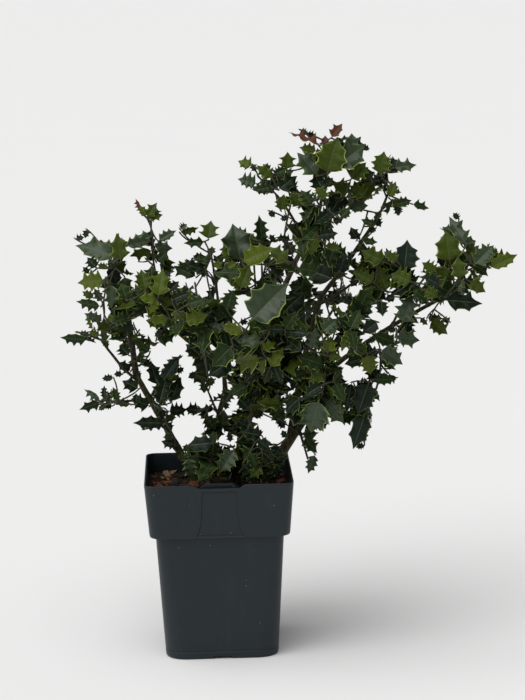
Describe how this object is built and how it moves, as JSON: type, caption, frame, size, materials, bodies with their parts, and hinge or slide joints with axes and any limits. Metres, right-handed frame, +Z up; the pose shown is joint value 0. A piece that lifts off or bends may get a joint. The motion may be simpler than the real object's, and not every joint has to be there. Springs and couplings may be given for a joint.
{
  "type": "potted holly",
  "caption": "Young bushy holly with spiny evergreen leaves on branching upright stems, growing from compost in a deep square plastic nursery pot that stands flat on its base.",
  "frame": {"origin": "centre of the flat underside of the pot", "axes": "+Z up the height of the pot and the plant; -Y out of the pot's front face, which has the label holder; +X to the right of that face, the side the longest bough leans to"},
  "size_m": [0.4636, 0.2905, 0.5374],
  "materials": {
    "pot_plastic": "satin moulded plastic",
    "compost": "rough and damp",
    "bark": "fine rough bark",
    "leaves": "glossy above, matte below"
  },
  "bodies": {
    "root": {"pot": "pot_plastic", "soil": "compost", "stem_left": "bark", "stem_rear_left": "bark", "stem_centre": "bark", "stem_right": "bark", "stem_back": "bark", "bough_left_leader": "bark", "bough_left_side": "bark", "bough_left_low": "bark", "bough_inner_left": "bark", "bough_left_spire": "bark", "bough_front_left": "bark", "bough_rear_left": "bark", "bough_centre": "bark", "bough_centre_front": "bark", "bough_upper_left": "bark", "bough_upper_front": "bark", "bough_upper_back": "bark", "bough_right_leader": "bark", "bough_upper_right": "bark", "bough_mid_right": "bark", "bough_far_right": "bark", "bough_right_up": "bark", "bough_right_low": "bark", "bough_front_right": "bark", "bough_low_right": "bark", "bough_back_mid_left": "bark", "bough_back_right": "bark", "leaves_left_tip": "leaves", "leaves_left_low": "leaves", "leaves_left_foot": "leaves", "leaves_left_crown": "leaves", "leaves_left_fork": "leaves", "leaves_inner_left": "leaves", "leaves_left_spire": "leaves", "leaves_front_left": "leaves", "leaves_rear_left": "leaves", "leaves_low_left": "leaves", "leaves_low_front": "leaves", "leaves_low_centre": "leaves", "leaves_centre_mid": "leaves", "leaves_centre_front": "leaves", "leaves_upper_left": "leaves", "leaves_top": "leaves", "leaves_upper_front": "leaves", "leaves_upper_back": "leaves", "leaves_upper_right": "leaves", "leaves_mid_right": "leaves", "leaves_right_tip": "leaves", "leaves_right_up": "leaves", "leaves_right_low": "leaves", "leaves_front_right": "leaves", "leaves_low_right": "leaves", "leaves_hanging": "leaves", "leaves_back_left": "leaves", "leaves_back_mid_left": "leaves", "leaves_back_centre": "leaves", "leaves_back_right": "leaves", "leaves_back_low": "leaves"}
  },
  "joints": []
}
